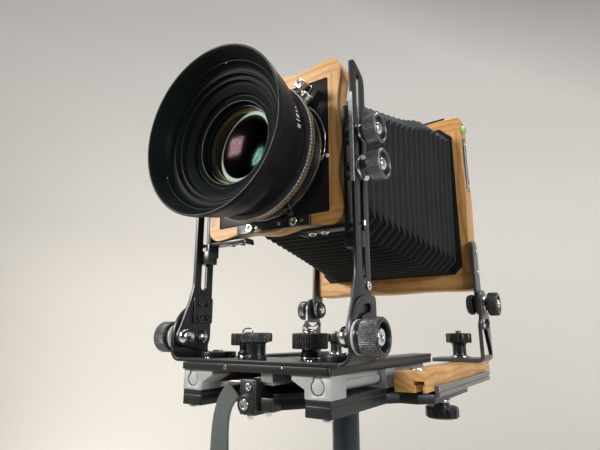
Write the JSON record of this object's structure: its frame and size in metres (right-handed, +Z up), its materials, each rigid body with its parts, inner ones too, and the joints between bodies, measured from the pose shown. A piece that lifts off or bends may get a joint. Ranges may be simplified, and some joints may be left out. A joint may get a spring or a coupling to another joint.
{
  "type": "film camera on tripod",
  "caption": "Wooden field camera for sheet film with pleated bellows, front swing, tilt and rise, geared focusing bed and tilting back, on a three-legged tripod with a sliding column.",
  "frame": {"origin": "on the floor, under the middle of the object's bounding box", "axes": "+Z up, the lens looks along -Y, +X to the right of a person facing the lens"},
  "size_m": [0.4844, 0.4832, 0.9908],
  "materials": {
    "wood": "oiled hardwood with flowing brown grain",
    "black_metal": "satin black anodised",
    "knob_metal": "satin black anodised, knurled, with chrome bolts",
    "star_plastic": "moulded, matt",
    "raw_aluminium": "raw, machined",
    "lens_black": "satin black enamel",
    "ring_metal": "bright, knurled",
    "chrome": "polished",
    "lens_glass": "coated, polished",
    "ground_glass": "ground, frosted",
    "level_vial": "clear green",
    "bellows_cloth": "pleated black cloth, matt",
    "strap_webbing": "grey-green woven webbing",
    "tripod_metal": "satin black",
    "tripod_grip": "ribbed, matt",
    "tripod_tube": "clear anodised"
  },
  "bodies": {
    "crown": {"tripod_crown": "tripod_metal"},
    "column": {"column": "tripod_metal"},
    "column_clamp": {"column_clamp": "tripod_grip"},
    "leg_upper_1": {"leg_upper_1": "tripod_metal"},
    "leg_lock_1": {"leg_lock_1": "tripod_grip"},
    "leg_lower_1": {"leg_lower_1": "tripod_tube"},
    "leg_upper_2": {"leg_upper_2": "tripod_metal"},
    "leg_lock_2": {"leg_lock_2": "tripod_grip"},
    "leg_lower_2": {"leg_lower_2": "tripod_tube"},
    "leg_upper_3": {"leg_upper_3": "tripod_metal"},
    "leg_lock_3": {"leg_lock_3": "tripod_grip"},
    "leg_lower_3": {"leg_lower_3": "tripod_tube"},
    "bed": {"bed_plate": "black_metal", "rail_housing_left": "raw_aluminium", "rail_housing_right": "raw_aluminium", "strap_block": "black_metal", "carry_strap": "strap_webbing"},
    "focus_bed": {"focus_bed": "black_metal", "focus_rack": "raw_aluminium"},
    "focus_pinion": {"focus_pinion": "knob_metal"},
    "rail_lock_knob_left": {"rail_lock_knob_left": "knob_metal"},
    "rail_lock_knob_right": {"rail_lock_knob_right": "knob_metal"},
    "swing_bracket": {"swing_bracket": "black_metal"},
    "swing_pivot_knob": {"swing_pivot_knob": "knob_metal"},
    "swing_knob_left": {"swing_knob_left": "knob_metal"},
    "swing_knob_right": {"swing_knob_right": "knob_metal"},
    "uprights": {"upright_left": "black_metal", "upright_right": "black_metal"},
    "tilt_knob_left": {"tilt_knob_left": "knob_metal"},
    "tilt_knob_right": {"tilt_knob_right": "knob_metal"},
    "front": {"front_frame": "wood", "lens_board": "black_metal", "rise_carrier_left": "black_metal", "rise_carrier_right": "black_metal", "shutter_body": "lens_black", "front_cell": "lens_black", "front_element": "lens_glass", "rear_cell": "lens_black"},
    "rise_knob_upper_left": {"rise_knob_upper_left": "knob_metal"},
    "rise_knob_lower_left": {"rise_knob_lower_left": "knob_metal"},
    "rise_knob_upper_right": {"rise_knob_upper_right": "knob_metal"},
    "rise_knob_lower_right": {"rise_knob_lower_right": "knob_metal"},
    "board_latch": {"board_latch": "black_metal"},
    "speed_ring": {"speed_ring": "ring_metal"},
    "cocking_lever": {"cocking_lever": "chrome"},
    "rear_rails": {"side_rail_left": "wood", "side_rail_right": "wood", "rear_bracket_left": "black_metal", "rear_bracket_right": "black_metal"},
    "star_knob_left": {"star_knob_left": "star_plastic"},
    "star_knob_right": {"star_knob_right": "star_plastic"},
    "rear_tilt_knob_left": {"rear_tilt_knob_left": "knob_metal"},
    "rear_tilt_knob_right": {"rear_tilt_knob_right": "knob_metal"},
    "rear_frame": {"rear_frame": "wood", "rear_arm_left": "black_metal", "rear_arm_right": "black_metal", "bubble_level": "level_vial", "bellows": "bellows_cloth"},
    "glass_back": {"glass_frame": "wood", "ground_glass": "ground_glass"}
  },
  "joints": [
    {"name": "front_focus", "type": "slide", "parent": "bed", "child": "focus_bed", "axis": [0, -1, 0], "range_m": [0, 0.11], "deforming": ["bellows"]},
    {"name": "focus_pinion_turn", "type": "hinge", "parent": "bed", "child": "focus_pinion", "pos_m": [0, -0.0584, 0.61254], "axis": [1, 0, 0], "range_deg": [0, 640]},
    {"name": "front_swing", "type": "hinge", "parent": "focus_bed", "child": "swing_bracket", "pos_m": [0, -0.1364, 0.64804], "axis": [0, 0, 1], "range_deg": [-15, 15], "deforming": ["bellows"]},
    {"name": "front_tilt", "type": "hinge", "parent": "swing_bracket", "child": "uprights", "pos_m": [0, -0.1114, 0.66284], "axis": [-1, 0, 0], "range_deg": [-10, 15], "deforming": ["bellows"]},
    {"name": "front_rise", "type": "slide", "parent": "uprights", "child": "front", "axis": [0, 0, 1], "range_m": [-0.025, 0.055], "deforming": ["bellows"]},
    {"name": "rear_slide", "type": "slide", "parent": "bed", "child": "rear_rails", "axis": [0, 1, 0], "range_m": [-0.005, 0.1], "deforming": ["bellows"]},
    {"name": "rear_tilt", "type": "hinge", "parent": "rear_rails", "child": "rear_frame", "pos_m": [0, 0.1816, 0.70534], "axis": [-1, 0, 0], "range_deg": [-10, 12], "deforming": ["bellows"]},
    {"name": "glass_back_slide", "type": "slide", "parent": "rear_frame", "child": "glass_back", "axis": [0, 1, 0], "range_m": [0, 0.02], "stiffness_N_per_m": 400, "springref_m": -0.01},
    {"name": "cocking_lever_turn", "type": "hinge", "parent": "front", "child": "cocking_lever", "pos_m": [0, -0.1274, 0.84334], "axis": [0, -1, 0], "range_deg": [0, 25]},
    {"name": "speed_ring_turn", "type": "hinge", "parent": "front", "child": "speed_ring", "pos_m": [0, -0.1484, 0.84334], "axis": [0, 1, 0], "range_deg": [-45, 45]},
    {"name": "board_latch_slide", "type": "slide", "parent": "front", "child": "board_latch", "axis": [0, 0, 1], "range_m": [-0.002, 0.002]},
    {"name": "column_slide", "type": "slide", "parent": "crown", "child": "column", "axis": [0, 0, 1], "range_m": [-0.07, 0.14]},
    {"name": "camera_pan", "type": "hinge", "parent": "column", "child": "bed", "pos_m": [0, 0.0356, 0.59904], "axis": [0, 0, 1], "continuous": true},
    {"name": "leg_spread_1", "type": "hinge", "parent": "crown", "child": "leg_upper_1", "pos_m": [0, -0.0104, 0.47504], "axis": [-1, 0, 0], "range_deg": [-24, 0]},
    {"name": "leg_extend_1", "type": "slide", "parent": "leg_upper_1", "child": "leg_lower_1", "axis": [0, -0.4067, -0.9135], "range_m": [0, 0.3]},
    {"name": "leg_lock_turn_1", "type": "hinge", "parent": "leg_upper_1", "child": "leg_lock_1", "pos_m": [0, -0.0104, 0.47504], "axis": [0, -0.4067, -0.9135], "range_deg": [0, 60]},
    {"name": "leg_spread_2", "type": "hinge", "parent": "crown", "child": "leg_upper_2", "pos_m": [0.03984, 0.0586, 0.47504], "axis": [0.5, -0.866, 0], "range_deg": [-24, 0]},
    {"name": "leg_extend_2", "type": "slide", "parent": "leg_upper_2", "child": "leg_lower_2", "axis": [0.3522, 0.2034, -0.9135], "range_m": [0, 0.3]},
    {"name": "leg_lock_turn_2", "type": "hinge", "parent": "leg_upper_2", "child": "leg_lock_2", "pos_m": [0.03984, 0.0586, 0.47504], "axis": [0.3522, 0.2034, -0.9135], "range_deg": [0, 60]},
    {"name": "leg_spread_3", "type": "hinge", "parent": "crown", "child": "leg_upper_3", "pos_m": [-0.03984, 0.0586, 0.47504], "axis": [0.5, 0.866, 0], "range_deg": [-24, 0]},
    {"name": "leg_extend_3", "type": "slide", "parent": "leg_upper_3", "child": "leg_lower_3", "axis": [-0.3522, 0.2034, -0.9135], "range_m": [0, 0.3]},
    {"name": "leg_lock_turn_3", "type": "hinge", "parent": "leg_upper_3", "child": "leg_lock_3", "pos_m": [-0.03984, 0.0586, 0.47504], "axis": [-0.3522, 0.2034, -0.9135], "range_deg": [0, 60]},
    {"name": "column_clamp_turn", "type": "hinge", "parent": "crown", "child": "column_clamp", "pos_m": [0, 0.0796, 0.47504], "axis": [0, 1, 0], "continuous": true},
    {"name": "swing_pivot_knob_turn", "type": "hinge", "parent": "focus_bed", "child": "swing_pivot_knob", "pos_m": [0, -0.1364, 0.64804], "axis": [0, 0, 1], "continuous": true},
    {"name": "swing_knob_turn_left", "type": "hinge", "parent": "focus_bed", "child": "swing_knob_left", "pos_m": [-0.0383, -0.1034, 0.64804], "axis": [0, 0, 1], "continuous": true},
    {"name": "swing_knob_turn_right", "type": "hinge", "parent": "focus_bed", "child": "swing_knob_right", "pos_m": [0.0383, -0.1034, 0.64804], "axis": [0, 0, 1], "continuous": true},
    {"name": "tilt_knob_turn_left", "type": "hinge", "parent": "uprights", "child": "tilt_knob_left", "pos_m": [-0.1046, -0.1359, 0.66284], "axis": [1, 0, 0], "continuous": true},
    {"name": "tilt_knob_turn_right", "type": "hinge", "parent": "uprights", "child": "tilt_knob_right", "pos_m": [0.1046, -0.1359, 0.66284], "axis": [1, 0, 0], "continuous": true},
    {"name": "rise_knob_turn_upper_left", "type": "hinge", "parent": "front", "child": "rise_knob_upper_left", "pos_m": [-0.101, -0.1114, 0.85234], "axis": [1, 0, 0], "continuous": true},
    {"name": "rise_knob_turn_lower_left", "type": "hinge", "parent": "front", "child": "rise_knob_lower_left", "pos_m": [-0.101, -0.1114, 0.81634], "axis": [1, 0, 0], "continuous": true},
    {"name": "rise_knob_turn_upper_right", "type": "hinge", "parent": "front", "child": "rise_knob_upper_right", "pos_m": [0.101, -0.1114, 0.85234], "axis": [1, 0, 0], "continuous": true},
    {"name": "rise_knob_turn_lower_right", "type": "hinge", "parent": "front", "child": "rise_knob_lower_right", "pos_m": [0.101, -0.1114, 0.81634], "axis": [1, 0, 0], "continuous": true},
    {"name": "rail_lock_turn_left", "type": "hinge", "parent": "bed", "child": "rail_lock_knob_left", "pos_m": [-0.1184, 0.0276, 0.59904], "axis": [0, 0, 1], "continuous": true},
    {"name": "rail_lock_turn_right", "type": "hinge", "parent": "bed", "child": "rail_lock_knob_right", "pos_m": [0.1184, 0.0276, 0.59904], "axis": [0, 0, 1], "continuous": true},
    {"name": "star_knob_turn_left", "type": "hinge", "parent": "rear_rails", "child": "star_knob_left", "pos_m": [-0.098, 0.1916, 0.63504], "axis": [0, 0, 1], "continuous": true},
    {"name": "star_knob_turn_right", "type": "hinge", "parent": "rear_rails", "child": "star_knob_right", "pos_m": [0.098, 0.1916, 0.63504], "axis": [0, 0, 1], "continuous": true},
    {"name": "rear_tilt_knob_turn_left", "type": "hinge", "parent": "rear_rails", "child": "rear_tilt_knob_left", "pos_m": [-0.1389, 0.1816, 0.70534], "axis": [1, 0, 0], "continuous": true},
    {"name": "rear_tilt_knob_turn_right", "type": "hinge", "parent": "rear_rails", "child": "rear_tilt_knob_right", "pos_m": [0.1389, 0.1816, 0.70534], "axis": [1, 0, 0], "continuous": true}
  ],
  "couplings": [
    {"joint": "focus_pinion_turn", "follows": "front_focus", "rad_per_m": 100}
  ]
}
